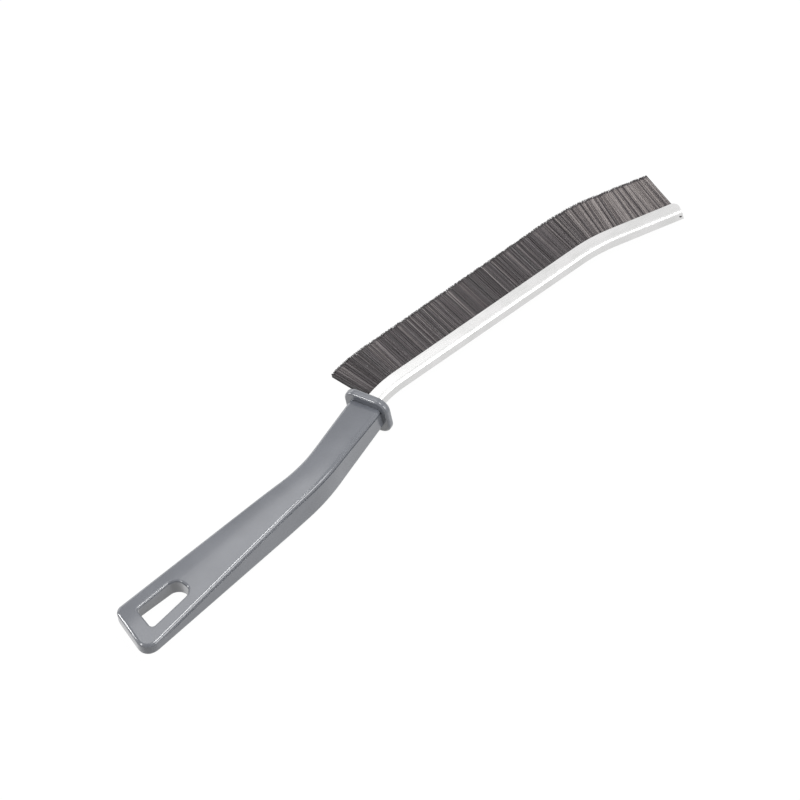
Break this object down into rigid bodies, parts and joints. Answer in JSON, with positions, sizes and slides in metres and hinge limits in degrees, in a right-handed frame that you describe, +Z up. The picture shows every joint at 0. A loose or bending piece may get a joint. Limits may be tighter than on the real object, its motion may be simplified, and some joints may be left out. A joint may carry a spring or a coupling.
{
  "type": "joint brush",
  "caption": "Narrow joint and gap cleaning brush: grey moulded handle with hang slot and guard, and dark bristles in a slim, twice bent metal channel.",
  "frame": {"origin": "middle of the bounding box's lower face; the brush lies on its side, and its lowest point is the guard's rim", "axes": "+X along the head's straight run from the handle to the tip, +Y the way the bristles point, +Z up, square to the plane of the bends"},
  "size_m": [0.2294, 0.05, 0.0142],
  "materials": {
    "handle_plastic": "cool grey moulded plastic, satin gloss",
    "channel_steel": "bright zinc-coated strip",
    "wire_steel": "plain drawn wire",
    "bristle_fibre": "dark grey fibre, cut square"
  },
  "bodies": {
    "root": {"handle": "handle_plastic", "channel": "channel_steel", "core_wire": "wire_steel", "bristles_1": "bristle_fibre", "bristles_2": "bristle_fibre", "bristles_3": "bristle_fibre", "bristles_4": "bristle_fibre", "bristles_5": "bristle_fibre", "bristles_6": "bristle_fibre", "bristles_7": "bristle_fibre", "bristles_8": "bristle_fibre"}
  },
  "joints": []
}
